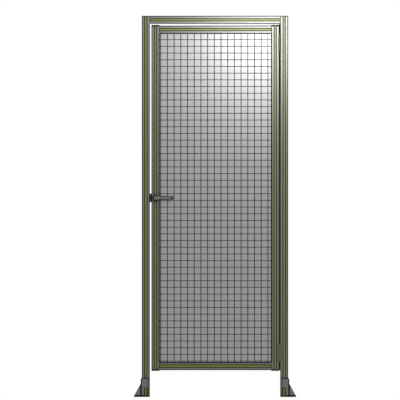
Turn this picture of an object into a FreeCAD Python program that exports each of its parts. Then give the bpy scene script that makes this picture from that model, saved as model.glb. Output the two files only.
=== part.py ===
import FreeCAD, Part
import math
import os

# Mesh guard door: a hinged leaf of slotted aluminium profile, filled with welded mesh before a tinted
# sheet, hung between two posts on floor feet. Sizes are in millimetres.
# X runs to the right along the fence, Y to the back, Z up. The front faces look towards -Y.
# The origin is on the floor, under the centre of the hinge post on the right.

# Overall sizes
overall_width = 820.0        # over the outer faces of both posts
overall_height = 2135.0
ground_clearance = 150.0     # floor to the profile of the leaf
lock_gap = 9.0               # leaf to lock post
hinge_gap = 5.0              # leaf to hinge post
top_gap = 10.0               # leaf to header

# Slotted square profile
profile = 45.0
profile_corner_r = 4.0
slot_opening = 10.0
slot_lip = 4.5               # thickness of the lips beside the opening
slot_lip_chamfer = 2.0
slot_inner_width = 20.0
slot_inner_wall = 5.0        # straight side of the slot behind the lips
slot_depth = 15.0
slot_floor_width = 10.0
core_bore_r = 5.0
corner_chamber = 7.0         # hollow square in each corner of the profile
corner_wall = 2.5

# Cover strips and seal, which clip behind the slot lips
clip_side_gap = 0.7
clip_lip_gap = 0.3
clip_barb = 1.5              # reach of the barb behind a lip
clip_barb_rise = 0.5
clip_length = 3.5            # from the barb to the end of the clip
strip_recess = 0.8           # strip face below the profile face
strip_end_gap = 2.0          # strip of a crossbar to the uprights
seal_height = 4.5            # seal above the face of the hinge post
seal_head_width = 12.0
seal_tip_width = 7.0
seal_end_gap = 1.0

# End caps of the stiles
cap_thickness = 4.0

# Floor foot
foot_base_t = 7.0
foot_height = 105.0
foot_wall = 6.0
foot_wall_r = 4.0            # rounding of the walls
foot_chamfer = 2.0           # along the base, the ribs and the notches
foot_reach = 45.0            # base beyond the outer face of the post
foot_wall_setback = 8.0      # front and back walls end short of the inner face of the post
foot_notch_width = 15.0
foot_notch_top = 53.0
foot_rib_top = 75.0
foot_rib_t = 6.0
anchor_hole_r = 5.5

# Mesh and sheet
mesh_pitch = 37.5
mesh_bar = 3.4               # square bar with about the section of a 4 mm wire
mesh_side_margin = 7.2       # lock stile to the first upright wire
mesh_bottom_margin = 6.2     # bottom rail to the lowest cross wire
mesh_bands = ("lower", "middle", "upper")
infill_engagement = 10.0     # depth of mesh and sheet in the slots
sheet_t = 3.0

# Hinges
knuckle_r = 7.5
knuckle_tip_r = 5.0
knuckle_taper = 8.0
hinge_height = 108.0
hinge_end_distance = 96.0    # hinge centre to the end of the stile
hinge_leaf_t = 2.0
hinge_leaf_reach = 36.0      # depth of a hinge leaf in the gap
hinge_face_gap = 0.5         # knuckle to the profile faces, and between the knuckles
hinge_pin_r = 4.0
hinge_pin_fit = 0.05
hinge_tip_wall = 5.0

# Lever set
lever_length = 101.0
lever_hub_r = 14.0
lever_waist_x = 36.0         # hub to where the arm becomes slim
lever_waist_height = 20.0
lever_tip_height = 18.0
lever_thickness = 13.0
lever_stand_off = 38.0       # clear depth for the hand
lever_bend_r = 14.0          # outer bend of the return end
lever_inner_r = 4.0
lever_return_gap = 8.0       # return end to the stile
lever_rim_chamfer = 2.5
neck_r = 10.0
rosette_r = 17.0
rosette_t = 8.0
rosette_bore_gap = 0.3
spindle_r = 4.0
spindle_socket_fit = 0.05
spindle_socket_depth = 25.0
spindle_clearance = 0.5      # spindle in the hole across the stile
neck_face_gap = 0.5

# Latch
latch_height = 18.0
latch_t = 6.0
latch_engagement = 5.0       # tongue in the slot of the lock post
latch_fork_bar = 4.0
latch_guide_gap = 0.3
faceplate_height = 48.0
faceplate_t = 3.0
faceplate_proud = 1.0
faceplate_side_gap = 0.1
keeper_height = 48.0
keeper_t = 3.0
keeper_front = 17.0          # keeper before the centre plane of the leaf
keeper_back_gap = 1.5        # keeper return behind the leaf
keeper_return_lap = 1.0      # keeper return past the edge of the leaf
keeper_window_gap = 1.0

# Positions that follow from the sizes
half = profile / 2
hinge_post_x = 0.0
lock_post_x = -(overall_width - profile)
hinge_stile_x = hinge_post_x - profile - hinge_gap
lock_stile_x = lock_post_x + profile + lock_gap
leaf_bottom = ground_clearance
leaf_top = overall_height - profile - top_gap
header_z = overall_height - half
bottom_rail_z = leaf_bottom + half
top_rail_z = leaf_top - half
hinge_axis_x = hinge_post_x - half - hinge_gap / 2
hinge_axis_y = -half - knuckle_r - hinge_face_gap
hinge_levels = (leaf_bottom + hinge_end_distance, leaf_top - hinge_end_distance)
lever_z = (leaf_bottom + leaf_top) / 2
latch_tip_x = lock_post_x + half - latch_engagement
stile_outer_x = lock_stile_x - half
latch_travel = stile_outer_x - latch_tip_x
opening_left = lock_stile_x + half
opening_right = hinge_stile_x - half
opening_bottom = leaf_bottom + profile
opening_top = leaf_top - profile
mesh_columns = 1 + int((opening_right - opening_left - mesh_side_margin - mesh_bar) / mesh_pitch)
mesh_rows = 1 + int((opening_top - opening_bottom - mesh_bottom_margin - mesh_bar) / mesh_pitch)
infill_front = -(2 * mesh_bar + sheet_t) / 2
far = 4 * profile            # past any local cut

Vector = FreeCAD.Vector
centre = Vector(0, 0, 0)
x_axis = Vector(1, 0, 0)
y_axis = Vector(0, 1, 0)
z_axis = Vector(0, 0, 1)


def box(x_span, y_span, z_span):
    """Block between two limits along each axis."""
    spans = [sorted(span) for span in (x_span, y_span, z_span)]
    size = [high - low for low, high in spans]
    return Part.makeBox(*size, Vector(*[low for low, high in spans]))


def rod(radius, start, end):
    """Round bar between two points."""
    line = Vector(*end) - Vector(*start)
    return Part.makeCylinder(radius, line.Length, Vector(*start), line)


def polygon(points):
    """Plane face in XY from its corners."""
    loop = [Vector(x, y, 0) for x, y in points]
    return Part.Face(Part.makePolygon(loop + loop[:1]))


def mirrored(points):
    """Outline symmetric about x = 0 from its right half."""
    return points + [(-x, y) for x, y in reversed(points)]


def turned(shape, degrees, axis=z_axis):
    """Copy turned about an axis through the origin."""
    copy = shape.copy()
    copy.rotate(centre, axis, degrees)
    return copy


def moved(shape, x, y, z):
    """Copy moved by the given distances."""
    copy = shape.copy()
    copy.translate(Vector(x, y, z))
    return copy


def rounded_square(size, radius):
    """Plane face in XY, centred, with round corners."""
    edge = size / 2
    flat = edge - radius
    bulge = flat + radius * math.sqrt(0.5)
    side = Part.makeLine(Vector(edge, -flat, 0), Vector(edge, flat, 0))
    corner = Part.Arc(Vector(edge, flat, 0), Vector(bulge, bulge, 0), Vector(flat, edge, 0)).toShape()
    edges = []
    for quarter in range(4):
        edges += [turned(side, 90 * quarter), turned(corner, 90 * quarter)]
    return Part.Face(Part.Wire(edges))


def profile_section():
    """Cross-section of the profile: a slot in each side, a core bore and four corner chambers."""
    mouth = slot_opening / 2
    inner = slot_inner_width / 2
    slot = polygon(mirrored([
        (mouth + slot_lip_chamfer, half + 1),
        (mouth + slot_lip_chamfer, half),
        (mouth, half - slot_lip_chamfer),
        (mouth, half - slot_lip),
        (inner, half - slot_lip),
        (inner, half - slot_lip - slot_inner_wall),
        (slot_floor_width / 2, half - slot_depth),
    ]))
    low = half - corner_wall - corner_chamber
    high = half - corner_wall
    chamber = polygon([(low, low), (high, low), (high, high), (low, high)])
    cuts = [Part.Face(Part.Wire(Part.makeCircle(core_bore_r)))]
    for quarter in range(4):
        cuts += [turned(slot, 90 * quarter), turned(chamber, 90 * quarter)]
    return rounded_square(profile, profile_corner_r).cut(cuts).Faces[0]


def clip_outline(head):
    """Section of a strip on the +Y face of the profile: its head, then the barbs behind the lips."""
    body = slot_opening / 2 - clip_side_gap
    barb_y = half - slot_lip - clip_lip_gap
    return polygon(mirrored(head + [
        (body, barb_y),
        (body + clip_barb, barb_y - clip_barb_rise),
        (body, barb_y - clip_length),
    ]))


def upright(section, x, bottom, top):
    """Section drawn up from one height to another."""
    return moved(section.extrude(Vector(0, 0, top - bottom)), x, 0, bottom)


def crossbar(section, left, right, z):
    """Section drawn along X at one height."""
    return moved(turned(section.extrude(Vector(0, 0, right - left)), 90, y_axis), left, 0, z)


def compound(solids):
    return Part.makeCompound(list(solids))


def foot():
    """Cast foot under the hinge post: base, three walls round the post and two ribs outside."""
    outer = half + foot_wall
    base_end = half + foot_reach
    base = box((-half, base_end), (-outer, outer), (0, foot_base_t))
    rims = [edge for edge in base.Edges if edge.BoundBox.ZMin > 0 and edge.BoundBox.XMax > half]
    base = base.makeChamfer(foot_chamfer, rims)
    walls = box((foot_wall_setback - half, outer), (-outer, outer), (foot_base_t - foot_chamfer, foot_height))
    corners = [edge for edge in walls.Edges if edge.BoundBox.ZMax > foot_base_t]
    walls = walls.makeFillet(foot_wall_r, corners)
    walls = walls.cut(box((-far, half), (-half, half), (0, far)))
    notch_r = foot_notch_width / 2
    arch_z = foot_notch_top - notch_r
    notch = box((-notch_r, notch_r), (-far, far), (foot_base_t, arch_z))
    notch = notch.fuse(rod(notch_r, (0, -far, arch_z), (0, far, arch_z))).removeSplitter()
    walls = walls.cut(notch)
    outline = [edge for edge in walls.Edges
               if edge.BoundBox.YLength < 0.01 and abs(edge.BoundBox.YMin) > outer - 0.01
               and edge.BoundBox.ZLength > 0.01 and edge.BoundBox.ZMin > foot_base_t - 0.01
               and edge.BoundBox.ZMax < foot_notch_top + 0.01]
    walls = walls.makeChamfer(foot_chamfer, outline)
    rib_end = base_end - foot_chamfer
    rib = polygon([(outer, foot_base_t), (rib_end, foot_base_t), (outer, foot_rib_top)])
    rib = turned(rib, 90, x_axis).extrude(Vector(0, foot_rib_t, 0))
    slopes = [edge for edge in rib.Edges if min(edge.BoundBox.XLength, edge.BoundBox.ZLength) > 1]
    rib = rib.makeChamfer(foot_chamfer, slopes)
    front_rib_y = foot_wall_r - outer
    back_rib_y = -front_rib_y - foot_rib_t
    body = base.multiFuse([walls, moved(rib, 0, front_rib_y, 0), moved(rib, 0, back_rib_y, 0)])
    hole_x = (outer + base_end) / 2
    hole = rod(anchor_hole_r, (hole_x, 0, -1), (hole_x, 0, foot_base_t + 1))
    return body.removeSplitter().cut(hole)


def hinge_half():
    """Post half of a hinge about its own axis: leaf in the gap, and the knuckle below the middle."""
    tip_z = -hinge_height / 2
    knuckle_top = -hinge_face_gap / 2
    barrel = rod(knuckle_r, (0, 0, tip_z + knuckle_taper), (0, 0, knuckle_top))
    taper = Part.makeCone(knuckle_tip_r, knuckle_r, knuckle_taper, Vector(0, 0, tip_z))
    leaf_x = (hinge_gap / 2 - hinge_leaf_t, hinge_gap / 2)
    leaf_start = knuckle_r + hinge_face_gap
    leaf = box(leaf_x, (leaf_start, leaf_start + hinge_leaf_reach), (tip_z, -tip_z))
    web = box(leaf_x, (hinge_pin_r, leaf_start), (tip_z + knuckle_taper, knuckle_top))
    bore = rod(hinge_pin_r + hinge_pin_fit, (0, 0, tip_z + hinge_tip_wall), (0, 0, far))
    return barrel.multiFuse([taper, leaf, web]).removeSplitter().cut(bore)


def hinge_pin():
    """Pin through both knuckles, about the hinge axis."""
    end = hinge_height / 2 - hinge_tip_wall
    return rod(hinge_pin_r, (0, 0, -end), (0, 0, end))


def at_hinges(shape):
    """Copies of a shape on the hinge axis, at the lower and the upper hinge."""
    return compound(moved(shape, hinge_axis_x, hinge_axis_y, level) for level in hinge_levels)


def gap_seal(section):
    """Seal on the inner slot of the hinge post, in lengths between the hinges."""
    reach = hinge_height / 2 + seal_end_gap
    breaks = [leaf_bottom]
    for level in hinge_levels:
        breaks += [level - reach, level + reach]
    breaks.append(leaf_top)
    starts = breaks[0::2]
    ends = breaks[1::2]
    return compound(upright(section, hinge_post_x, low, high) for low, high in zip(starts, ends))


def mesh_band(first_row, row_count):
    """Band of welded mesh: upright bars in front, cross bars behind them, joined where they meet."""
    left = opening_left - infill_engagement
    right = opening_right + infill_engagement
    first_x = opening_left + mesh_side_margin
    first_z = opening_bottom + mesh_bottom_margin
    last_row = first_row + row_count
    low = first_z + (first_row - 0.5) * mesh_pitch
    high = first_z + (last_row - 0.5) * mesh_pitch
    if first_row == 0:
        low = opening_bottom - infill_engagement
    if last_row == mesh_rows:
        high = opening_top + infill_engagement
    middle = infill_front + mesh_bar
    bars = []
    for column in range(mesh_columns):
        x = first_x + column * mesh_pitch
        bars.append(box((x - mesh_bar / 2, x + mesh_bar / 2), (infill_front, middle), (low, high)))
    for row in range(first_row, last_row):
        z = first_z + row * mesh_pitch
        bars.append(box((left, right), (middle, middle + mesh_bar), (z - mesh_bar / 2, z + mesh_bar / 2)))
    return bars[0].multiFuse(bars[1:])


def backing_sheet():
    """Sheet behind the mesh, held in the slots of the leaf."""
    back = -infill_front
    return box(
        (opening_left - infill_engagement, opening_right + infill_engagement),
        (back - sheet_t, back),
        (opening_bottom - infill_engagement, opening_top + infill_engagement),
    )


def lever():
    """Front lever about its own axis, with the stile face at y = 0: the plan shape, cut to the
    outline seen from the front, on a round neck."""
    back = -lever_stand_off
    front = back - lever_thickness
    return_x = lever_length - lever_thickness
    plan = polygon([
        (-lever_hub_r, back),
        (return_x, back),
        (return_x, -lever_return_gap),
        (lever_length, -lever_return_gap),
        (lever_length, front),
        (-lever_hub_r, front),
    ])
    grip = moved(plan, 0, 0, -profile).extrude(Vector(0, 0, 2 * profile))
    bends = {(lever_length, front): lever_bend_r, (return_x, back): lever_inner_r}
    for (x, y), radius in bends.items():
        edges = [edge for edge in grip.Edges
                 if edge.Length > profile and abs(edge.BoundBox.Center.x - x) < 0.01
                 and abs(edge.BoundBox.Center.y - y) < 0.01]
        grip = grip.makeFillet(radius, edges)
    arm = [(0, lever_hub_r), (lever_waist_x, lever_waist_height / 2), (lever_length, lever_tip_height / 2)]
    taper = polygon(arm + [(x, -z) for x, z in reversed(arm)])
    taper = turned(taper, 90, x_axis).extrude(Vector(0, -far, 0))
    hub = rod(lever_hub_r, (0, 0, 0), (0, -far, 0))
    grip = grip.common(hub.fuse(taper)).removeSplitter()
    rims = [edge for edge in grip.Edges if abs(edge.BoundBox.YMin - front) < 0.01
            and edge.BoundBox.YLength < 0.01 and edge.BoundBox.XLength > lever_hub_r / 2]
    grip = grip.makeChamfer(lever_rim_chamfer, rims)
    neck = rod(neck_r, (0, -neck_face_gap, 0), (0, back - 1, 0))
    socket = rod(spindle_r + spindle_socket_fit, (0, 1, 0), (0, -spindle_socket_depth, 0))
    return grip.fuse(neck).cut(socket)


def rosette():
    """Round rose under a lever, with the stile face at y = 0."""
    ring = rod(rosette_r, (0, 0, 0), (0, -rosette_t, 0))
    return ring.cut(rod(neck_r + rosette_bore_gap, (0, 1, 0), (0, -far, 0)))


def at_lever(shape, back=False):
    """Puts a shape made for the front face on the front or the back of the lock stile."""
    if back:
        shape = shape.mirror(centre, y_axis)
    face_y = half if back else -half
    return moved(shape, lock_stile_x, face_y, lever_z)


def spindle():
    """Bar through the stile into the necks of both levers."""
    end = half + spindle_socket_depth - 1
    return rod(spindle_r, (lock_stile_x, -end, lever_z), (lock_stile_x, end, lever_z))


def latch_limits(gap):
    """Height limits of the tongue, widened by a gap on each side."""
    reach = latch_height / 2 + gap
    return (lever_z - reach, lever_z + reach)


def latch_depths(gap):
    """Depth limits of the tongue, widened by a gap on each side."""
    reach = latch_t / 2 + gap
    return (-reach, reach)


def latch_tongue():
    """Tongue that slides through the edge of the leaf, forked round the spindle behind its head."""
    fork_end = lock_stile_x - spindle_r + latch_guide_gap
    head_end = lock_stile_x - spindle_r - latch_travel - 1
    body = box((latch_tip_x, fork_end), latch_depths(0), latch_limits(0))
    inner = latch_height / 2 - latch_fork_bar
    return body.cut(box((head_end, far), latch_depths(1), (lever_z - inner, lever_z + inner)))


def lock_stile(section):
    """Upright of the leaf on the lock side, opened for the tongue and bored for the spindle."""
    bar = upright(section, lock_stile_x, leaf_bottom, leaf_top)
    pocket_end = opening_left - infill_engagement
    pocket = box((stile_outer_x, pocket_end), latch_depths(latch_guide_gap), latch_limits(latch_guide_gap))
    hole = rod(spindle_r + spindle_clearance, (lock_stile_x, -far, lever_z), (lock_stile_x, far, lever_z))
    return bar.cut([pocket, hole])


def lock_faceplate():
    """Plate in the outer slot of the lock stile, with the window that guides the tongue."""
    plate_y = slot_opening / 2 - faceplate_side_gap
    reach = faceplate_height / 2
    plate = box(
        (stile_outer_x - faceplate_proud, stile_outer_x - faceplate_proud + faceplate_t),
        (-plate_y, plate_y),
        (lever_z - reach, lever_z + reach),
    )
    return plate.cut(box((lock_post_x, 0), latch_depths(latch_guide_gap), latch_limits(latch_guide_gap)))


def latch_keeper():
    """Angle on the lock post: a plate with a window for the tongue, and a return behind the leaf."""
    face_x = lock_post_x + half
    heights = (lever_z - keeper_height / 2, lever_z + keeper_height / 2)
    back_y = half + keeper_back_gap
    plate = box((face_x, face_x + keeper_t), (-keeper_front, back_y + keeper_t), heights)
    lap = box((face_x, stile_outer_x + keeper_return_lap), (back_y, back_y + keeper_t), heights)
    window = box((lock_post_x, 0), latch_depths(keeper_window_gap), latch_limits(keeper_window_gap))
    return plate.fuse(lap).removeSplitter().cut(window)


def build():
    """All nodes of the door by name."""
    section = profile_section()
    strip_y = half - strip_recess
    strip_half = slot_opening / 2 - clip_side_gap
    strip = turned(clip_outline([(strip_half, strip_y)]), 180)
    strip_faces = (strip, turned(strip, 180))
    seal = turned(clip_outline([
        (seal_tip_width / 2, half + seal_height),
        (seal_head_width / 2, half),
        (strip_half, half),
    ]), 90)
    cap = rounded_square(profile, profile_corner_r)
    post_bottom = foot_base_t
    post_left = lock_post_x + half
    post_right = hinge_post_x - half

    nodes = {}
    for name, x in (("hinge_post", hinge_post_x), ("lock_post", lock_post_x)):
        nodes[name] = upright(section, x, post_bottom, overall_height)
        nodes[name + "_strips"] = compound(
            upright(face, x, post_bottom, overall_height) for face in strip_faces)
    nodes["hinge_post_foot"] = foot()
    nodes["lock_post_foot"] = moved(turned(foot(), 180), lock_post_x, 0, 0)
    nodes["header"] = crossbar(section, post_left, post_right, header_z)
    nodes["header_strips"] = compound(
        crossbar(face, post_left + strip_end_gap, post_right - strip_end_gap, header_z)
        for face in strip_faces)
    nodes["hinge_gap_seal"] = gap_seal(seal)
    nodes["latch_keeper"] = latch_keeper()

    nodes["hinge_stile"] = upright(section, hinge_stile_x, leaf_bottom, leaf_top)
    nodes["lock_stile"] = lock_stile(section)
    nodes["hinge_stile_strips"] = compound(
        upright(face, hinge_stile_x, leaf_bottom, leaf_top) for face in strip_faces)
    spindle_stops = (lever_z - neck_r, lever_z + neck_r)
    nodes["lock_stile_strips"] = compound(
        upright(face, lock_stile_x, low, high) for face in strip_faces
        for low, high in ((leaf_bottom, spindle_stops[0]), (spindle_stops[1], leaf_top)))
    for name, z in (("bottom_rail", bottom_rail_z), ("top_rail", top_rail_z)):
        nodes[name] = crossbar(section, opening_left, opening_right, z)
        nodes[name + "_strips"] = compound(
            crossbar(face, opening_left + strip_end_gap, opening_right - strip_end_gap, z)
            for face in strip_faces)
    for name, x in (("hinge_stile_caps", hinge_stile_x), ("lock_stile_caps", lock_stile_x)):
        nodes[name] = compound([
            upright(cap, x, leaf_bottom - cap_thickness, leaf_bottom),
            upright(cap, x, leaf_top, leaf_top + cap_thickness),
        ])

    share, spare = divmod(mesh_rows, len(mesh_bands))
    first_row = 0
    for index, band in enumerate(mesh_bands):
        rows = share + (1 if index < spare else 0)
        nodes["mesh_" + band] = mesh_band(first_row, rows)
        first_row += rows
    nodes["backing_sheet"] = backing_sheet()

    post_half = hinge_half()
    nodes["hinge_post_halves"] = at_hinges(post_half)
    nodes["hinge_door_halves"] = at_hinges(turned(post_half, 180, y_axis))
    nodes["hinge_pins"] = at_hinges(hinge_pin())

    nodes["lock_faceplate"] = lock_faceplate()
    nodes["latch_tongue"] = latch_tongue()
    nodes["front_rosette"] = at_lever(rosette())
    nodes["back_rosette"] = at_lever(rosette(), back=True)
    nodes["front_lever"] = at_lever(lever())
    nodes["back_lever"] = at_lever(lever(), back=True)
    nodes["lever_spindle"] = spindle()
    return nodes


os.makedirs("parts", exist_ok=True)
for node_name, shape in build().items():
    shape.exportStep("parts/" + node_name + ".step")
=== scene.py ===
import bpy
import math
from mathutils import Matrix, Vector


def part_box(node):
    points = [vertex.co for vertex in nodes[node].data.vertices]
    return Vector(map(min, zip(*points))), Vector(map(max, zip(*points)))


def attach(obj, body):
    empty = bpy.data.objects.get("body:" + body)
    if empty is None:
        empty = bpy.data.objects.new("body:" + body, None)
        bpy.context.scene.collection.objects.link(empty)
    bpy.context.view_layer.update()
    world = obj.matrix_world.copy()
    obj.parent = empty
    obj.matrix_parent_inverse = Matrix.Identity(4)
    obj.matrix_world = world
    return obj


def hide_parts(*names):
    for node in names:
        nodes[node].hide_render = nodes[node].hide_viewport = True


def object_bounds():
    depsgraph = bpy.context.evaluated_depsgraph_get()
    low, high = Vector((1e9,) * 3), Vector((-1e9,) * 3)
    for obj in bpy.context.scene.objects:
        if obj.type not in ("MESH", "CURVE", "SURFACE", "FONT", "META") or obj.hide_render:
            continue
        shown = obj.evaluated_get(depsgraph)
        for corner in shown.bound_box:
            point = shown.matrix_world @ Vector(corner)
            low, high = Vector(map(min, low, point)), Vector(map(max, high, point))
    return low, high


# Looks of the mesh guard door. Sizes are in metres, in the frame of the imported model:
# X along the fence, Y to the back, Z up, origin on the floor under the hinge post.
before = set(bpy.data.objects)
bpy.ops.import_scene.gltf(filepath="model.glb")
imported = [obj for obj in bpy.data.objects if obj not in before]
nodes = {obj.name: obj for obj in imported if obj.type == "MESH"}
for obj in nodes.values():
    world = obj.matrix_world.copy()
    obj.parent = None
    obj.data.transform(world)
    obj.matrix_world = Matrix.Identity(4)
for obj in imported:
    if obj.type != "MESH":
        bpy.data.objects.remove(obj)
cad_low, cad_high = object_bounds()
scene = bpy.context.scene
scene.view_settings.view_transform = "Standard"

# The photograph is a front elevation, so its scale comes from the outer faces of the posts.
photo_size = 400
photo_post_left = 141.80
photo_post_right = 288.20
photo_floor = 396.95
photo_highlight = (276.0, 14.0)

# Studio
camera_distance = 6.0        # before the front of the part
fill_light = 0.70            # strength of the white world as a light
lamp_distance = 3.2          # before and behind the middle of the posts
lamp_size = 0.6
key_power = 40.0
rim_power = 20.0
floor_reach = 40.0           # from the middle of the part
floor_drop = 0.0005          # below the feet
floor_glow = 0.42            # for the rays that show the backdrop
floor_roughness = 0.6

# Posts with their feet, and the side to which a foot reaches out: 1 is the right, -1 the left
feet = (("hinge_post", "hinge_post_foot", 1), ("lock_post", "lock_post_foot", -1))

# Welded wire mesh
wire_d = 0.0040
wire_pitch = 0.0375
upright_margin = 0.0072      # lock stile to the first upright wire
cross_margin = 0.0062        # bottom rail to the lowest cross wire
wire_sides = 12
wire_chamfer = 0.0003        # length of the chamfer at the ends of a wire
wire_end = 0.85              # share of the radius that the chamfer leaves

# Weld nuggets: radius and height of their rings, in wire diameters
weld_rings = ((0.20, -0.42), (0.52, -0.28), (0.66, 0), (0.52, 0.28), (0.20, 0.42))
weld_sides = 8

# Lip of the seal in the hinge gap
lip_root = 0.0010            # from the post's face into the seal
lip_reach = 0.0008           # into the slot of the leaf, which the lip doesn't touch
lip_touch = 0.00005          # to the hinges, and between its lengths
lip_half = 0.0045            # half of its width at the root
lip_tip = ((0.0010, 0.0022), (0.0003, 0.0014))    # way back from the tip, and half of the width there

# Beads that hold mesh and sheet in the slots of the leaf; their black is also painted shade along the
# edges of the opening
slot_half = 0.0050
bead_root = 0.0017           # depth in the chamfer of the slot
bead_proud = 0.0016          # height above the face of the bar
bead_width = 0.0018
bead_flat = 0.6              # share of its height and width before the chamfer

# Dark lines of painted shade along the edges
profile_half = 0.0225
rim_line = 0.0050            # along the rounded edges of a profile
seal_rim_line = 0.0026       # the same along the edges beside the gap seal
slot_line = 0.0092           # beside a slot, from the middle of the slot
line_blur = 0.0004
edge_reach = 0.006           # from a face of a profile past its rounded edge
# Painted shade along the floor on the feet reaches this height
floor_shade_height = 0.0105          # height of the dark rim of the feet
# Painted shade in the crease between wall and ribs of a foot
crease_from_post = 0.0045    # middle of the line between wall and ribs of a foot
crease_half = 0.0044
# Painted contact shadow
contact_shadow = 0.0028        # on a post above its foot
# Painted shade at the ends of the crossbars' strips
strip_end_shade = 0.0028      # at the end of a crossbar's strip, on both sides of the joint

# Share of the tone that is left in the dark lines and dark faces of painted shade
profile_shade_share = 0.04
strip_end_shade_share = 0.10
foot_shade_share = 0.05
lever_shade_share = 0.06
hinge_taper_shade_share = 0.12
hinge_side_shade_share = 0.25
keeper_shade_share = 0.20

# Size of a normal along an axis from which a surface looks that way. Pairs are soft steps.
looks_along = 0.5
looks_up = 0.9
hinge_taper_step = (0.10, 0.25)
hinge_side_step = (0.60, 0.80)
lever_face_step = (0.2, 0.4)
edge_turn_step = (0.02, 0.12)    # of the turn from front to side, which is 1 at 45 degrees

# Rounded and sharp edges
moulded_edge = 0.0008        # rounding of the small plastic parts
moulded_steps = 2
weld_gap = 0.00002           # points that are closer are one
flat_angle = math.radians(1)         # faces that turn less are one
edge_angle = math.radians(40)        # edges that turn more are sharp or get rounded
nut_edge_angle = math.radians(17)    # the same for the edges of the floor anchors

# Fasteners
anchor_inset = 0.0195        # end of the foot to its floor anchor
foot_screw_z = 0.040
foot_screw_r = 0.0070
foot_countersunk_z = 0.088
foot_countersunk_r = 0.0075
hinge_height = 0.108
hinge_leaf_t = 0.002
hinge_screw_pitch = 0.036
hinge_screw_r = 0.0045
keeper_t = 0.003
keeper_screw_r = 0.0048
faceplate_screw_r = 0.0036
plate_screw_pitch = 0.017    # above and below the tongue
joint_screw_inset = 0.008    # depth of the screws that hold the header, below the post's face
joint_screw_r = 0.0046

# Rings of the fasteners from the bottom up: radius, height, and whether the ring is a hexagon.
# For the screw heads they are shares of the head's radius and height.
round_sides = 24
button_height = 0.62         # share of the radius
button_rings = (
    (1.00, 0.00, False), (1.00, 0.12, False), (0.90, 0.55, False), (0.72, 0.86, False),
    (0.52, 1.00, False), (0.40, 0.98, True), (0.40, 0.30, True),
)
flush_height = 0.0004
flush_rings = (
    (1.00, 0.0, False), (0.96, 1.0, False), (0.50, 1.0, False), (0.42, 0.9, True), (0.40, 0.1, True),
)
washer_rings = ((0.0105, 0, False), (0.0105, 0.0016, False), (0.0100, 0.0020, False))
nut_rings = (
    (0.0080, 0.0020, False), (0.0082, 0.0026, True), (0.0082, 0.0090, True), (0.0078, 0.0098, False),
    (0.0056, 0.0100, False),
)
stud_rings = ((0.0050, 0.0100, False), (0.0050, 0.0140, False), (0.0043, 0.0148, False))

# Grain: its stretch, fine across a part and long along it, and the strength of its relief
extruded_along = {"X": (0.008, 1, 1), "Z": (1, 1, 0.008)}
lever_brushing = (0.02, 1, 1)
plate_brushing = (1, 1, 0.03)
bump_strength = 0.5

# Outline of the lever, and its painted shade: along the rim and on a line where the return bend starts
lever_hub_r = 0.014
lever_waist_x = 0.036        # from the hub
lever_waist_half = 0.010
lever_tip_x = 0.101
lever_tip_half = 0.009
lever_rim = 0.0038
lever_bend_line_x = 0.0895
bend_line_width = 0.0036

# Tones are linear, and about as they render
white = (1, 1, 1, 1)
floor_tone = (0.82, 0.82, 0.82)
metal_tone = (0.114, 0.114, 0.116)
foot_tone = (0.110, 0.110, 0.111)
lever_tone = (0.090, 0.090, 0.091)
hinge_tone = (0.075, 0.075, 0.076)
plate_tone = (0.13, 0.13, 0.133)
latch_tone = (0.090, 0.090, 0.092)
tongue_tone = (0.012, 0.012, 0.012)
strip_tone = (0.165, 0.165, 0.030)
strip_gloss_tint = (1.0, 1.0, 0.55, 1)
black_plastic_tone = (0.006, 0.006, 0.0065)
rubber_tone = (0.055, 0.055, 0.055)
# One coating on all wires: the uprights are darker with painted shade, the cross wires lighter with
# painted light
upright_wire_shaded_tone = (0.004, 0.004, 0.004)
cross_wire_lit_tone = (0.055, 0.055, 0.055)
sheet_tone = (0.070, 0.070, 0.071)

# Clear sheet
sheet_alpha = 0.63
sheet_ior = 1.7


# Places on the part
def side_x(name, side):
    """X of a node's face on its right, 1, or on its left, -1."""
    low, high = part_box(name)
    return high.x if side > 0 else low.x


def leaf_opening():
    """Left, right, bottom and top of the opening in the leaf."""
    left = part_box("lock_stile")[1].x
    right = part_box("hinge_stile")[0].x
    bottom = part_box("bottom_rail")[1].z
    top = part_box("top_rail")[0].z
    return left, right, bottom, top


def end_spans(low, high, line):
    """Spans of a line's width at both ends of a length."""
    return [(low - line_blur, low + line), (high - line, high + line_blur)]


def spaced(start, end, pitch):
    """Places from the start, a pitch apart, that come before the end."""
    places = []
    place = start
    while place < end:
        places.append(place)
        place += pitch
    return places


# Material helpers
def calculate(tree, operation, *values):
    """Math node on one or two sockets or numbers. With more of them it goes on from left to right."""
    node = tree.nodes.new("ShaderNodeMath")
    node.operation = operation
    for socket, value in zip(node.inputs[:2], values):
        if isinstance(value, bpy.types.NodeSocket):
            tree.links.new(value, socket)
        else:
            socket.default_value = value
    result = node.outputs[0]
    if len(values) > 2:
        result = calculate(tree, operation, result, *values[2:])
    return result


def new_material(name, colour, roughness, metallic=0.0, specular=0.5):
    """Material with a plain Principled shader, to be given its detail."""
    material = bpy.data.materials.new(name)
    material.use_nodes = True
    tree = material.node_tree
    shader = tree.nodes["Principled BSDF"]
    shader.inputs["Base Color"].default_value = (*colour, 1)
    shader.inputs["Roughness"].default_value = roughness
    shader.inputs["Metallic"].default_value = metallic
    shader.inputs["Specular IOR Level"].default_value = specular
    return material, tree, shader


def coordinates(tree, kind):
    """The object's own coordinates or its normal."""
    node = tree.nodes.get("Texture Coordinate") or tree.nodes.new("ShaderNodeTexCoord")
    return node.outputs[kind]


def axes(tree, kind):
    """X, Y and Z of the object's own coordinates or of its normal."""
    split = tree.nodes.new("ShaderNodeSeparateXYZ")
    tree.links.new(coordinates(tree, kind), split.inputs["Vector"])
    return split.outputs


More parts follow.
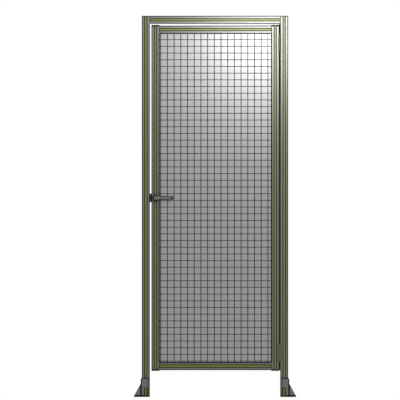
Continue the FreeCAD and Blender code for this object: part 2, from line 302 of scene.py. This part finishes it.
def noise(tree, scale, detail, stretch=(1, 1, 1)):
    """Noise from 0 to 1 in the object's own coordinates, finer along an axis with a large stretch."""
    mapping = tree.nodes.new("ShaderNodeMapping")
    mapping.inputs["Scale"].default_value = stretch
    texture = tree.nodes.new("ShaderNodeTexNoise")
    texture.inputs["Scale"].default_value = scale
    texture.inputs["Detail"].default_value = detail
    tree.links.new(coordinates(tree, "Object"), mapping.inputs["Vector"])
    tree.links.new(mapping.outputs["Vector"], texture.inputs["Vector"])
    return texture.outputs["Fac"]


def ramp(tree, value, start, end, low, high):
    """Value from start to end taken to the range from low to high."""
    node = tree.nodes.new("ShaderNodeMapRange")
    node.inputs["From Min"].default_value = start
    node.inputs["From Max"].default_value = end
    node.inputs["To Min"].default_value = low
    node.inputs["To Max"].default_value = high
    tree.links.new(value, node.inputs["Value"])
    return node.outputs["Result"]


def step(tree, value, low, high):
    """Smooth step from 0 at low to 1 at high."""
    result = ramp(tree, value, low, high, 0.0, 1.0)
    result.node.interpolation_type = "SMOOTHSTEP"
    return result


def uneven(tree, value, share):
    """Factor about 1 that follows a noise, up and down by the given share."""
    return ramp(tree, value, 0.0, 1.0, 1 - share, 1 + share)


def shaded(tree, mask, share):
    """Factor 1, which falls to the given share where the mask is 1."""
    return ramp(tree, mask, 0.0, 1.0, 1.0, share)


def follow(tree, shader, socket, value, low, high):
    """Socket of the shader that goes from low to high as a value goes from 0 to 1."""
    tree.links.new(ramp(tree, value, 0.0, 1.0, low, high), shader.inputs[socket])


def tint(tree, shader, colour, *factors):
    """Base colour times varying factors."""
    factor = calculate(tree, "MULTIPLY", 1.0, *factors)
    node = tree.nodes.new("ShaderNodeMix")
    node.data_type = "RGBA"
    node.blend_type = "MULTIPLY"
    node.inputs["Factor"].default_value = 1.0
    colours = [socket for socket in node.inputs if socket.type == "RGBA"]
    colours[0].default_value = (*colour, 1)
    tree.links.new(factor, colours[1])
    result = next(socket for socket in node.outputs if socket.type == "RGBA")
    tree.links.new(result, shader.inputs["Base Color"])


def bump(tree, shader, height, depth):
    """Fine relief that follows a noise."""
    node = tree.nodes.new("ShaderNodeBump")
    node.inputs["Strength"].default_value = bump_strength
    node.inputs["Distance"].default_value = depth
    tree.links.new(height, node.inputs["Height"])
    tree.links.new(node.outputs["Normal"], shader.inputs["Normal"])


def dress(material, *names):
    """Gives CAD nodes a finished material."""
    for name in names:
        mesh = nodes[name].data
        mesh.materials.clear()
        mesh.materials.append(material)


# Camera, light and floor
def make_camera():
    """Camera square to the front, with the photograph's field."""
    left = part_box("lock_post")[0].x
    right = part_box("hinge_post")[1].x
    pixel = (right - left) / (photo_post_right - photo_post_left)
    data = bpy.data.cameras.new("camera")
    data.type = "ORTHO"
    data.ortho_scale = photo_size * pixel
    camera = bpy.data.objects.new("camera", data)
    camera.location = (
        left + (photo_size / 2 - photo_post_left) * pixel,
        cad_low.y - camera_distance,
        (photo_floor - photo_size / 2) * pixel,
    )
    camera.rotation_euler = (math.radians(90), 0, 0)
    scene.collection.objects.link(camera)
    scene.camera = camera
    return camera, pixel


def seen_directly(tree):
    """1 for rays that show the backdrop itself: camera, glossy and transmission rays."""
    path = tree.nodes.new("ShaderNodeLightPath")
    kinds = ("Is Camera Ray", "Is Glossy Ray", "Is Transmission Ray")
    return calculate(tree, "MAXIMUM", *[path.outputs[kind] for kind in kinds])


def make_world():
    """White backdrop, with a softer fill as the light on the object."""
    world = bpy.data.worlds.new("studio")
    world.use_nodes = True
    tree = world.node_tree
    tree.nodes.clear()
    light = tree.nodes.new("ShaderNodeBackground")
    light.inputs["Color"].default_value = white
    light.inputs["Strength"].default_value = fill_light
    backdrop = tree.nodes.new("ShaderNodeBackground")
    backdrop.inputs["Color"].default_value = white
    mix = tree.nodes.new("ShaderNodeMixShader")
    output = tree.nodes.new("ShaderNodeOutputWorld")
    tree.links.new(seen_directly(tree), mix.inputs["Fac"])
    tree.links.new(light.outputs["Background"], mix.inputs[1])
    tree.links.new(backdrop.outputs["Background"], mix.inputs[2])
    tree.links.new(mix.outputs["Shader"], output.inputs["Surface"])
    scene.world = world


def make_lamp(name, x, y, z, power):
    """Square soft box that shines along Y at the part, and that the camera doesn't see."""
    data = bpy.data.lights.new(name, "AREA")
    data.shape = "SQUARE"
    data.size = lamp_size
    data.energy = power
    lamp = bpy.data.objects.new(name, data)
    lamp.location = (x, y, z)
    lamp.rotation_euler = Vector((0, -y, 0)).to_track_quat("-Z", "Y").to_euler()
    lamp.visible_camera = False
    scene.collection.objects.link(lamp)


def make_floor():
    """Pale floor that keeps the shadow of the door."""
    mesh = bpy.data.meshes.new("floor")
    corners = [(floor_reach * x, floor_reach * y, 0) for x, y in ((-1, -1), (1, -1), (1, 1), (-1, 1))]
    mesh.from_pydata(corners, [], [(0, 1, 2, 3)])
    floor = bpy.data.objects.new("floor", mesh)
    floor.location = ((cad_low.x + cad_high.x) / 2, 0, cad_low.z - floor_drop)
    material, tree, shader = new_material("floor", floor_tone, floor_roughness)
    shader.inputs["Emission Color"].default_value = white
    glow = calculate(tree, "MULTIPLY", seen_directly(tree), floor_glow)
    tree.links.new(glow, shader.inputs["Emission Strength"])
    mesh.materials.append(material)
    scene.collection.objects.link(floor)


# Masks of the painted shade: dark lines on edges, creases, ends and joints
def size_along(tree, axis):
    """Size of the normal along an axis."""
    return calculate(tree, "ABSOLUTE", axes(tree, "Normal")[axis])


def inside(tree, value, low, high):
    """1 between two limits."""
    above = calculate(tree, "GREATER_THAN", value, low)
    return calculate(tree, "MULTIPLY", above, calculate(tree, "LESS_THAN", value, high))


def within_spans(tree, axis, spans):
    """1 within any of the given spans of an axis."""
    place = axes(tree, "Object")[axis]
    return calculate(tree, "MAXIMUM", 0.0, *[inside(tree, place, low, high) for low, high in spans])


def edge_shade(tree):
    """1 where shade is painted: on surfaces that turn from the front or back to a side, such as rounded or
    chamfered edges.
    """
    squared = calculate(tree, "POWER", size_along(tree, "Y"), 2.0)
    rest = calculate(tree, "SUBTRACT", 1.0, squared)
    turn = calculate(tree, "MULTIPLY", squared, rest, 4.0)
    return step(tree, turn, *edge_turn_step)


def open_joints(tree, rim, joints, meeting_x):
    """Rim lines of painted shade on a bar, which stay plain where another bar meets it at meeting_x, in
    the height spans of the joints, apart from a line of painted shade at the end of that bar's strip."""
    beside = within_spans(tree, "X", [(meeting_x - edge_reach, meeting_x + edge_reach)])
    met = calculate(tree, "MULTIPLY", beside, within_spans(tree, "Z", joints))
    plain = calculate(tree, "MULTIPLY", rim, calculate(tree, "SUBTRACT", 1.0, met))
    middles = [(low + high) / 2 for low, high in joints]
    strips = within_spans(tree, "Z", [(z - slot_half, z + slot_half) for z in middles])
    closer = within_spans(tree, "X", [(meeting_x - strip_end_shade, meeting_x + strip_end_shade)])
    return calculate(tree, "MAXIMUM", plain, calculate(tree, "MULTIPLY", closer, strips))


def profile_shade_lines(tree, along, centre, joints, meeting_x, seal_side, ends):
    """1 where shade is painted: along the rounded edges, the slot lips and the ends of a profile along an
    axis, whose middle is at the given place across it. At the joints another bar meets it at meeting_x.
    On the seal's side, 1 or -1, the line along the edge is narrower. Joints and ends are height spans."""
    place = axes(tree, "Object")
    across = "X" if along == "Z" else "Z"
    signed = calculate(tree, "SUBTRACT", place[across], centre)
    sideways = calculate(tree, "ABSOLUTE", signed)
    depth = calculate(tree, "ABSOLUTE", place["Y"])
    offset = calculate(tree, "MINIMUM", sideways, depth)
    rim_offset = offset
    if seal_side:
        on_side = calculate(tree, "GREATER_THAN", calculate(tree, "MULTIPLY", signed, seal_side), 0.0)
        less = calculate(tree, "MULTIPLY", on_side, rim_line - seal_rim_line)
        rim_offset = calculate(tree, "MINIMUM", calculate(tree, "SUBTRACT", sideways, less), depth)
    rim = step(tree, rim_offset, profile_half - rim_line, profile_half - rim_line + line_blur)
    if joints:
        rim = open_joints(tree, rim, joints, meeting_x)
    if ends:
        rim = calculate(tree, "MAXIMUM", rim, within_spans(tree, "Z", ends))
    lip = step(tree, offset, slot_line, slot_line - line_blur)
    flank = calculate(tree, "LESS_THAN", size_along(tree, along), looks_along)
    return calculate(tree, "MULTIPLY", calculate(tree, "MAXIMUM", rim, lip), flank)


def foot_shade_lines(tree, post, outward):
    """1 where shade is painted: on the edges of a foot, in the crease between its wall and its ribs, and
    along the floor.
    """
    # Painted shade in the crease of the foot
    crease_x = side_x(post, outward) + outward * crease_from_post
    crease = within_spans(tree, "X", [(crease_x - crease_half, crease_x + crease_half)])
    to_front = calculate(tree, "GREATER_THAN", size_along(tree, "Y"), looks_along)
    # Painted shade along the floor
    low = step(tree, axes(tree, "Object")["Z"], floor_shade_height, floor_shade_height - line_blur)
    upright = calculate(tree, "LESS_THAN", size_along(tree, "Z"), looks_up)
    front_crease = calculate(tree, "MULTIPLY", crease, to_front)
    floor_shade = calculate(tree, "MULTIPLY", low, upright)
    return calculate(tree, "MAXIMUM", edge_shade(tree), front_crease, floor_shade)


def lever_shade_lines(tree):
    """1 where shade is painted: along the outline of the levers and on a line where the return bend
    starts, on surfaces that look to the front or back.
    """
    low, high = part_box("lever_spindle")
    place = axes(tree, "Object")
    along = calculate(tree, "SUBTRACT", place["X"], (low.x + high.x) / 2)
    height = calculate(tree, "SUBTRACT", place["Z"], (low.z + high.z) / 2)
    before = calculate(tree, "POWER", calculate(tree, "MINIMUM", along, 0.0), 2.0)
    squared = calculate(tree, "ADD", before, calculate(tree, "POWER", height, 2.0))
    reach = calculate(tree, "SQRT", squared)
    neck = ramp(tree, along, 0.0, lever_waist_x, lever_hub_r, lever_waist_half)
    arm = ramp(tree, along, lever_waist_x, lever_tip_x, 0.0, lever_waist_half - lever_tip_half)
    half = calculate(tree, "SUBTRACT", neck, arm)
    inwards = calculate(tree, "SUBTRACT", half, reach)
    from_tip = calculate(tree, "SUBTRACT", lever_tip_x, along)
    nearest = calculate(tree, "MINIMUM", inwards, from_tip)
    rim = step(tree, nearest, lever_rim, lever_rim - line_blur)
    bend_line = inside(tree, along, lever_bend_line_x - bend_line_width / 2, lever_bend_line_x + bend_line_width / 2)
    to_front = step(tree, size_along(tree, "Y"), *lever_face_step)
    return calculate(tree, "MULTIPLY", calculate(tree, "MAXIMUM", rim, bend_line), to_front)


# Materials
def anodised(bar, along, joints=(), meeting_x=0.0, seal_side=0, ends=()):
    """Dresses a profile in satin anodised metal: die lines along the bar, cloudy tone, painted shade on
    the edges.
    """
    low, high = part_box(bar)
    centre = (low.x + high.x) / 2 if along == "Z" else (low.z + high.z) / 2
    material, tree, shader = new_material(bar + "_metal", metal_tone, roughness=0.25)
    lines = noise(tree, scale=900.0, detail=2.0, stretch=extruded_along[along])
    cloud = noise(tree, scale=5.0, detail=4.0)
    edge = profile_shade_lines(tree, along, centre, joints, meeting_x, seal_side, ends)
    mottle = (uneven(tree, lines, 0.06), uneven(tree, cloud, 0.05))
    tint(tree, shader, metal_tone, *mottle, shaded(tree, edge, profile_shade_share))
    # Metallic rises in the painted shade, so that the dark lines stay dark under the highlight
    follow(tree, shader, "Metallic", edge, 0.25, 1.0)
    follow(tree, shader, "Roughness", lines, 0.235, 0.265)
    bump(tree, shader, lines, depth=0.00003)
    dress(material, bar)


def strip_plastic(name, along, ends):
    """Yellow cover strip along an axis, extruded, slightly mottled, with a satin gloss near its own
    colour, with painted shade in the spans of its ends."""
    material, tree, shader = new_material(name, strip_tone, roughness=0.27, specular=0.4)
    shader.inputs["Specular Tint"].default_value = strip_gloss_tint
    lines = noise(tree, scale=700.0, detail=2.0, stretch=extruded_along[along])
    cloud = noise(tree, scale=9.0, detail=4.0)
    dark = within_spans(tree, along, ends)
    mottle = (uneven(tree, lines, 0.05), uneven(tree, cloud, 0.05))
    tint(tree, shader, strip_tone, *mottle, shaded(tree, dark, strip_end_shade_share))
    follow(tree, shader, "Roughness", cloud, 0.25, 0.29)
    bump(tree, shader, lines, depth=0.00004)
    return material


def coated_casting(post, foot, outward):
    """Dresses a foot in coated casting with a fine peel, with painted shade on its edges, in its crease
    and along the floor.
    """
    material, tree, shader = new_material(foot + "_coating", foot_tone, roughness=0.42)
    peel = noise(tree, scale=650.0, detail=2.0)
    cloud = noise(tree, scale=18.0, detail=4.0)
    dark = foot_shade_lines(tree, post, outward)
    mottle = (uneven(tree, peel, 0.05), uneven(tree, cloud, 0.08))
    tint(tree, shader, foot_tone, *mottle, shaded(tree, dark, foot_shade_share))
    # Metallic rises in the painted shade, so that it stays dark under the highlight
    follow(tree, shader, "Metallic", dark, 0.4, 1.0)
    follow(tree, shader, "Roughness", cloud, 0.36, 0.48)
    bump(tree, shader, peel, depth=0.00010)
    dress(material, foot)


def lever_metal(name):
    """Satin lever, brushed along its arm, with painted shade along its rims and on a line where its return
    bend starts.
    """
    material, tree, shader = new_material(name, lever_tone, roughness=0.36)
    brushing = noise(tree, scale=900.0, detail=2.0, stretch=lever_brushing)
    cloud = noise(tree, scale=40.0, detail=3.0)
    dark = lever_shade_lines(tree)
    mottle = (uneven(tree, brushing, 0.07), uneven(tree, cloud, 0.05))
    tint(tree, shader, lever_tone, *mottle, shaded(tree, dark, lever_shade_share))
    # Metallic rises in the painted shade, so that it stays dark under the highlight
    follow(tree, shader, "Metallic", dark, 0.6, 1.0)
    follow(tree, shader, "Roughness", brushing, 0.30, 0.44)
    bump(tree, shader, brushing, depth=0.00004)
    return material


def painted_steel(name, colour):
    """Satin painted steel with a fine peel, with painted shade on the tapered ends and on the sides."""
    material, tree, shader = new_material(name, colour, roughness=0.42, metallic=0.3)
    peel = noise(tree, scale=800.0, detail=2.0)
    cloud = noise(tree, scale=30.0, detail=4.0)
    # Painted shade on the tapered ends and on the sides of the hinge barrels
    taper = step(tree, size_along(tree, "Z"), *hinge_taper_step)
    side = step(tree, size_along(tree, "X"), *hinge_side_step)
    shades = (shaded(tree, taper, hinge_taper_shade_share), shaded(tree, side, hinge_side_shade_share))
    tint(tree, shader, colour, uneven(tree, cloud, 0.08), *shades)
    follow(tree, shader, "Roughness", cloud, 0.37, 0.47)
    bump(tree, shader, peel, depth=0.00006)
    return material


def plated_steel(name, colour, shaded_spans=()):
    """Plated or blackened steel with fine brushing and blotches, with painted shade in the given height
    spans.
    """
    material, tree, shader = new_material(name, colour, roughness=0.34, metallic=1.0)
    brushing = noise(tree, scale=1200.0, detail=2.0, stretch=plate_brushing)
    blotch = noise(tree, scale=90.0, detail=4.0)
    factors = [uneven(tree, brushing, 0.10), uneven(tree, blotch, 0.15)]
    if shaded_spans:
        factors.append(shaded(tree, within_spans(tree, "Z", shaded_spans), keeper_shade_share))
    tint(tree, shader, colour, *factors)
    follow(tree, shader, "Roughness", blotch, 0.26, 0.42)
    bump(tree, shader, brushing, depth=0.00003)
    return material


def grained_black(name, colour, grain, depth, smoothest, roughest):
    """Black plastic or rubber with a moulded grain."""
    material, tree, shader = new_material(name, colour, (smoothest + roughest) / 2, specular=0.12)
    pits = noise(tree, scale=grain, detail=3.0)
    cloud = noise(tree, scale=25.0, detail=3.0)
    tint(tree, shader, colour, uneven(tree, cloud, 0.25))
    follow(tree, shader, "Roughness", pits, smoothest, roughest)
    bump(tree, shader, pits, depth)
    return material


def coated_wire(name, colour):
    """Powder-coated wire, a little uneven in tone along its length."""
    material, tree, shader = new_material(name, colour, roughness=0.55, specular=0.12)
    peel = noise(tree, scale=1100.0, detail=2.0)
    cloud = noise(tree, scale=14.0, detail=4.0)
    tint(tree, shader, colour, uneven(tree, cloud, 0.2))
    follow(tree, shader, "Roughness", peel, 0.48, 0.62)
    bump(tree, shader, peel, depth=0.00008)
    return material


def smoked_sheet(name):
    """Smoke-grey clear sheet with a satin gloss and a faint haze."""
    material, tree, shader = new_material(name, sheet_tone, roughness=0.30, specular=1.0)
    haze = noise(tree, scale=3.0, detail=5.0)
    grain = noise(tree, scale=500.0, detail=2.0)
    tint(tree, shader, sheet_tone, uneven(tree, haze, 0.03))
    follow(tree, shader, "Roughness", haze, 0.26, 0.27)
    shader.inputs["IOR"].default_value = sheet_ior
    shader.inputs["Alpha"].default_value = sheet_alpha
    bump(tree, shader, grain, depth=0.00002)
    return material


# Mesh helpers
def form(rings, sides=round_sides):
    """Vertices and faces of a closed form about Z. A ring is (radius, height, is_hexagon), and the radius
    of a hexagon goes to the middle of its sides."""
    sixth = math.pi / 3
    vertices = []
    for radius, height, is_hexagon in rings:
        for index in range(sides):
            angle = 2 * math.pi * index / sides
            reach = radius
            if is_hexagon:
                reach = radius / math.cos((angle + sixth / 2) % sixth - sixth / 2)
            vertices.append(Vector((reach * math.cos(angle), reach * math.sin(angle), height)))
    faces = []
    for ring in range(len(rings) - 1):
        low = ring * sides
        high = low + sides
        for index in range(sides):
            after = (index + 1) % sides
            faces.append((low + index, low + after, high + after, high + index))
    last = (len(rings) - 1) * sides
    for start, height, turn in ((0, rings[0][1], -1), (last, rings[-1][1], 1)):
        centre = len(vertices)
        vertices.append(Vector((0, 0, height)))
        for index in range(sides):
            edge = (start + index, start + (index + 1) % sides)
            faces.append((centre, *edge[::turn]))
    return vertices, faces


def prism(outline, bottom, top):
    """Vertices and faces of an upright bar with the given outline in plan."""
    count = len(outline)
    vertices = [Vector((x, y, z)) for z in (bottom, top) for x, y in outline]
    faces = []
    for index in range(count):
        after = (index + 1) % count
        faces.append((index, after, count + after, count + index))
    faces.append(tuple(reversed(range(count))))
    faces.append(tuple(range(count, 2 * count)))
    return vertices, faces


def joined(*shapes):
    """One shape, its vertices and faces, from several."""
    vertices = []
    faces = []
    for points, corners in shapes:
        start = len(vertices)
        vertices += points
        faces += [tuple(start + index for index in face) for face in corners]
    return vertices, faces


def repeated(shape, places):
    """One shape from a shape at several places."""
    points, corners = shape
    return joined(*[([place @ point for point in points], corners) for place in places])


def facing(direction, place):
    """Matrix that stands a form on a surface: its Z along the direction, its foot at the place."""
    turn = Vector(direction).to_track_quat("Z", "Y").to_matrix().to_4x4()
    return Matrix.Translation(Vector(place)) @ turn


def piece(name, shape, material, body, sharp_angle=edge_angle):
    """New object that rides on a body."""
    mesh = bpy.data.meshes.new(name)
    mesh.from_pydata([tuple(point) for point in shape[0]], [], shape[1])
    mesh.materials.append(material)
    mesh.shade_smooth()
    mesh.set_sharp_from_angle(angle=sharp_angle)
    made = bpy.data.objects.new(name, mesh)
    scene.collection.objects.link(made)
    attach(made, body)
    return made


def soften(*names):
    """Rounded edges on CAD nodes that are moulded."""
    for name in names:
        weld = nodes[name].modifiers.new("weld", "WELD")
        weld.merge_threshold = weld_gap
        flat = nodes[name].modifiers.new("flat", "DECIMATE")
        flat.decimate_type = "DISSOLVE"
        flat.angle_limit = flat_angle
        bevel = nodes[name].modifiers.new("bevel", "BEVEL")
        bevel.width = moulded_edge
        bevel.segments = moulded_steps
        bevel.use_clamp_overlap = False
        bevel.limit_method = "ANGLE"
        bevel.angle_limit = edge_angle
        bevel.harden_normals = True


# Forms of the fasteners and wires
def screw_head(rings, radius, height):
    """Screw head with a hexagon socket, from rings in shares of its radius and height."""
    return form([(share * radius, rise * height, is_hexagon) for share, rise, is_hexagon in rings])


def button_head(radius):
    """Round head."""
    return screw_head(button_rings, radius, button_height * radius)


def flush_head(radius):
    """Countersunk head that stands a hair above its plate."""
    return screw_head(flush_rings, radius, flush_height)


def floor_anchor():
    """Washer, hexagon nut and stud end of a floor anchor."""
    return joined(form(washer_rings), form(nut_rings), form(stud_rings))


def wire(start, end):
    """Straight round wire between two points, with chamfered ends."""
    run = Vector(end) - Vector(start)
    radius = wire_d / 2
    rings = [
        (wire_end * radius, 0, False),
        (radius, wire_chamfer, False),
        (radius, run.length - wire_chamfer, False),
        (wire_end * radius, run.length, False),
    ]
    return repeated(form(rings, wire_sides), [facing(run, start)])


# Pieces
def wire_mesh(upright_metal, cross_metal):
    """Welded mesh of round wires in place of the square bars: uprights in front, cross wires on the
    sheet."""
    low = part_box("mesh_lower")[0]
    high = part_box("mesh_upper")[1]
    left, right, bottom, top = leaf_opening()
    radius = wire_d / 2
    cross_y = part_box("backing_sheet")[0].y - radius
    upright_y = low.y + radius
    columns = spaced(left + upright_margin, right - radius, wire_pitch)
    rows = spaced(bottom + cross_margin, top - radius, wire_pitch)
    uprights = joined(*[wire((x, upright_y, low.z), (x, upright_y, high.z)) for x in columns])
    crosses = joined(*[wire((low.x, cross_y, z), (high.x, cross_y, z)) for z in rows])
    nugget = form([(share * wire_d, rise * wire_d, False) for share, rise in weld_rings], weld_sides)
    middle_y = (upright_y + cross_y) / 2
    welds = repeated(nugget, [facing((0, -1, 0), (x, middle_y, z)) for x in columns for z in rows])
    made = piece("wire_uprights", uprights, upright_metal, "door")
    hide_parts("mesh_lower", "mesh_middle", "mesh_upper")
    piece("wire_crosses", crosses, cross_metal, "door")
    piece("wire_welds", welds, upright_metal, "door")


def panel_beads(plastic):
    """Black beads round the opening of the leaf, before the mesh and behind the sheet; their black is
    partly painted shade along the edges of the opening.
    """
    left, right, bottom, top = leaf_opening()
    middle_x = (left + right) / 2
    middle_z = (bottom + top) / 2
    height = top - bottom
    width = right - left - 2 * bead_proud
    sides = [
        (Vector((1, 0, 0)), Vector((left, 0, middle_z)), height),
        (Vector((-1, 0, 0)), Vector((right, 0, middle_z)), height),
        (Vector((0, 0, 1)), Vector((middle_x, 0, bottom)), width),
        (Vector((0, 0, -1)), Vector((middle_x, 0, top)), width),
    ]
    outline = [
        (-bead_root, slot_half),
        (bead_proud, slot_half),
        (bead_proud, slot_half + bead_flat * bead_width),
        (bead_flat * bead_proud, slot_half + bead_width),
        (0, slot_half + bead_width),
    ]
    beads = []
    for inward, place, length in sides:
        for depth in (Vector((0, -1, 0)), Vector((0, 1, 0))):
            along = inward.cross(depth)
            turn = Matrix((inward, depth, along)).transposed().to_4x4()
            start = Matrix.Translation(place - along * length / 2)
            beads.append(repeated(prism(outline, 0, length), [start @ turn]))
    piece("panel_beads", joined(*beads), plastic, "door")


def seal_lip(rubber):
    """Soft lip of the gap seal, which closes the gap as far as the slot of the leaf and the hinges."""
    low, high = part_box("hinge_gap_seal")
    hinge_low, hinge_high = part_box("hinge_post_halves")
    post_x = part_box("hinge_post")[0].x
    tip_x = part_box("hinge_stile")[1].x - lip_reach
    breaks = [
        low.z,
        hinge_low.z - lip_touch,
        hinge_low.z + hinge_height + lip_touch,
        hinge_high.z - hinge_height - lip_touch,
        hinge_high.z + lip_touch,
        high.z,
    ]
    front = [(tip_x + back, -half) for back, half in lip_tip]
    rear = [(tip_x + back, half) for back, half in reversed(lip_tip)]
    tip = [*front, (tip_x, 0), *rear]
    on_seal = [(post_x - lip_root, -lip_half), *tip, (post_x - lip_root, lip_half)]
    on_post = [(post_x, -lip_half), *tip, (post_x, lip_half)]
    lengths = [prism(on_seal, bottom, top) for bottom, top in zip(breaks[0::2], breaks[1::2])]
    lengths.append(prism(on_post, high.z + lip_touch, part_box("header")[0].z))
    piece("seal_lip", joined(*lengths), rubber, "frame")


def foot_fasteners(metal):
    """Floor anchors and the screws that hold the feet to the posts."""
    anchors = []
    buttons = []
    flush = []
    for post, foot, outward in feet:
        base_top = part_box(post)[0].z
        anchor_x = side_x(foot, outward) - outward * anchor_inset
        anchors.append(facing((0, 0, 1), (anchor_x, 0, base_top)))
        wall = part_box(foot)[1].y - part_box(post)[1].y
        wall_x = side_x(post, outward) + outward * wall
        buttons.append(facing((outward, 0, 0), (wall_x, 0, foot_screw_z)))
        flush.append(facing((outward, 0, 0), (wall_x, 0, foot_countersunk_z)))
    anchor_shapes = repeated(floor_anchor(), anchors)
    piece("floor_anchors", anchor_shapes, metal, "frame", nut_edge_angle)
    button_heads = repeated(button_head(foot_screw_r), buttons)
    flush_heads = repeated(flush_head(foot_countersunk_r), flush)
    piece("foot_screws", joined(button_heads, flush_heads), metal, "frame")


def hinge_fasteners(metal):
    """Flush screws on both leaves of each hinge."""
    post_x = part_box("hinge_post")[0].x - hinge_leaf_t
    door_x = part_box("hinge_stile")[1].x + hinge_leaf_t
    low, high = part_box("hinge_post_halves")
    leaf_y = (high.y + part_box("hinge_post")[0].y) / 2
    centres = (low.z + hinge_height / 2, high.z - hinge_height / 2)
    levels = [centre + turn * hinge_screw_pitch for centre in centres for turn in (-1, 0, 1)]
    on_post = [facing((-1, 0, 0), (post_x, leaf_y, z)) for z in levels]
    on_door = [facing((1, 0, 0), (door_x, leaf_y, z)) for z in levels]
    head = flush_head(hinge_screw_r)
    piece("hinge_post_screws", repeated(head, on_post), metal, "frame")
    piece("hinge_door_screws", repeated(head, on_door), metal, "door")


def latch_fasteners(metal):
    """Flush screws of the keeper and the faceplate, above and below the tongue."""
    keeper_low, keeper_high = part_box("latch_keeper")
    middle = (keeper_low.z + keeper_high.z) / 2
    keeper_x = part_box("lock_post")[1].x + keeper_t
    plate_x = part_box("lock_faceplate")[0].x
    heights = (middle - plate_screw_pitch, middle + plate_screw_pitch)
    on_keeper = [facing((1, 0, 0), (keeper_x, 0, z)) for z in heights]
    on_plate = [facing((-1, 0, 0), (plate_x, 0, z)) for z in heights]
    piece("keeper_screws", repeated(flush_head(keeper_screw_r), on_keeper), metal, "frame")
    piece("faceplate_screws", repeated(flush_head(faceplate_screw_r), on_plate), metal, "door")


def header_fasteners(metal):
    """Screws in the outer slots of the posts, which hold the header."""
    low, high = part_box("header")
    z = (low.z + high.z) / 2
    places = []
    for post, _, outward in feet:
        x = side_x(post, outward) - outward * joint_screw_inset
        places.append(facing((outward, 0, 0), (x, 0, z)))
    piece("header_screws", repeated(button_head(joint_screw_r), places), metal, "frame")


# Studio with the highlight where the photograph has it
camera, pixel = make_camera()
highlight_x = camera.location.x + (photo_highlight[0] - photo_size / 2) * pixel
highlight_z = camera.location.z - (photo_highlight[1] - photo_size / 2) * pixel
make_world()
make_lamp("key", highlight_x, -lamp_distance, highlight_z, key_power)
make_lamp("rim", cad_low.x, lamp_distance, highlight_z, rim_power)
make_floor()

# Profiles and their strips
header_low, header_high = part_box("header")
header_span = [(header_low.z, header_high.z)]
rail_spans = [(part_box(rail)[0].z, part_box(rail)[1].z) for rail in ("bottom_rail", "top_rail")]
rail_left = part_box("top_rail")[0].x
rail_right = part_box("top_rail")[1].x
post_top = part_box("hinge_post")[1].z
foot_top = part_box("hinge_post_foot")[1].z
# Spans of painted shade at the tops of the posts and the ends of the stiles, and a painted contact shadow
# above the feet
post_ends = [(post_top - rim_line, post_top + line_blur), (foot_top, foot_top + contact_shadow)]
stile_ends = end_spans(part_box("hinge_stile")[0].z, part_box("hinge_stile")[1].z, rim_line)
anodised("hinge_post", "Z", header_span, header_high.x, seal_side=-1, ends=post_ends)
anodised("lock_post", "Z", header_span, header_low.x, ends=post_ends)
anodised("hinge_stile", "Z", rail_spans, rail_right, seal_side=1, ends=stile_ends)
anodised("lock_stile", "Z", rail_spans, rail_left, ends=stile_ends)
dress(strip_plastic("post_strips", "Z", post_ends), "hinge_post_strips", "lock_post_strips")
dress(strip_plastic("stile_strips", "Z", stile_ends), "hinge_stile_strips", "lock_stile_strips")
for crossbar in ("header", "top_rail", "bottom_rail"):
    anodised(crossbar, "X")
    # Painted shade at both ends of the crossbar's strip
    crossbar_ends = end_spans(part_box(crossbar)[0].x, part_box(crossbar)[1].x, strip_end_shade)
    dress(strip_plastic(crossbar + "_strip", "X", crossbar_ends), crossbar + "_strips")

# Other CAD nodes
for post, foot, outward in feet:
    coated_casting(post, foot, outward)
dress(painted_steel("hinge_paint", hinge_tone), "hinge_post_halves", "hinge_door_halves")
steel = plated_steel("plated_steel", plate_tone)
dress(steel, "hinge_pins", "lever_spindle")
latch_steel = plated_steel("latch_steel", latch_tone)
dress(latch_steel, "lock_faceplate")
tongue_low, tongue_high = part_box("latch_tongue")
# Painted shade band on the keeper at the tongue's height
dress(plated_steel("keeper_steel", latch_tone, [(tongue_low.z, tongue_high.z)]), "latch_keeper")
dress(plated_steel("tongue_steel", tongue_tone), "latch_tongue")
rubber = grained_black(
    "seal_rubber", rubber_tone, grain=900.0, depth=0.0001, smoothest=0.67, roughest=0.83)
dress(rubber, "hinge_gap_seal")
black_plastic = grained_black(
    "black_plastic", black_plastic_tone, grain=1400.0, depth=0.00008, smoothest=0.42, roughest=0.58)
moulded = ("hinge_stile_caps", "lock_stile_caps", "front_rosette", "back_rosette")
dress(black_plastic, *moulded)
soften(*moulded)
dress(smoked_sheet("smoked_sheet"), "backing_sheet")
dress(lever_metal("lever_metal"), "front_lever", "back_lever")

# Pieces that are left to this script
# Uprights in a darker tone of painted shade, cross wires in a lighter tone of painted light
wire_mesh(coated_wire("upright_wire_shaded", upright_wire_shaded_tone), coated_wire("cross_wire_lit", cross_wire_lit_tone))
panel_beads(black_plastic)
foot_fasteners(steel)
hinge_fasteners(steel)
seal_lip(rubber)
latch_fasteners(latch_steel)
header_fasteners(steel)
